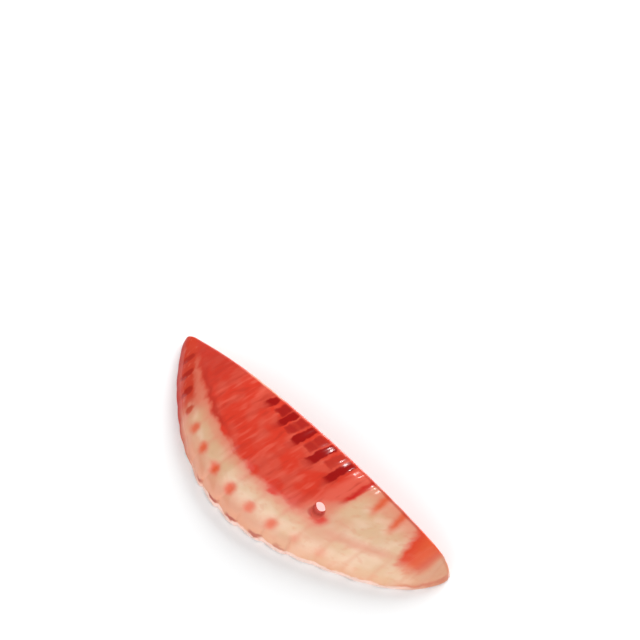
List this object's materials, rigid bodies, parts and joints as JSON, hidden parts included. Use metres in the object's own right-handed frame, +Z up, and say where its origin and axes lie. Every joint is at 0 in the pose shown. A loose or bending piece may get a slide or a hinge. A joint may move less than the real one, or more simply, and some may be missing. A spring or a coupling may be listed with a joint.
{
  "type": "spiny oyster shell slice",
  "caption": "Sawn and drilled half-moon slice of a ribbed spiny oyster valve, with a scalloped natural margin and a straight cut edge.",
  "frame": {"origin": "bottom centre of the slice as it lies on its natural margin", "axes": "+X along the saw cut, from the steep tip to the tapered one; -Y from the saw cut towards the scalloped margin; +Z up, out of the ribbed outer face"},
  "size_m": [0.0545, 0.0166, 0.0088],
  "materials": {
    "polished_shell": "polished"
  },
  "bodies": {
    "root": {"shell": "polished_shell"}
  },
  "joints": []
}
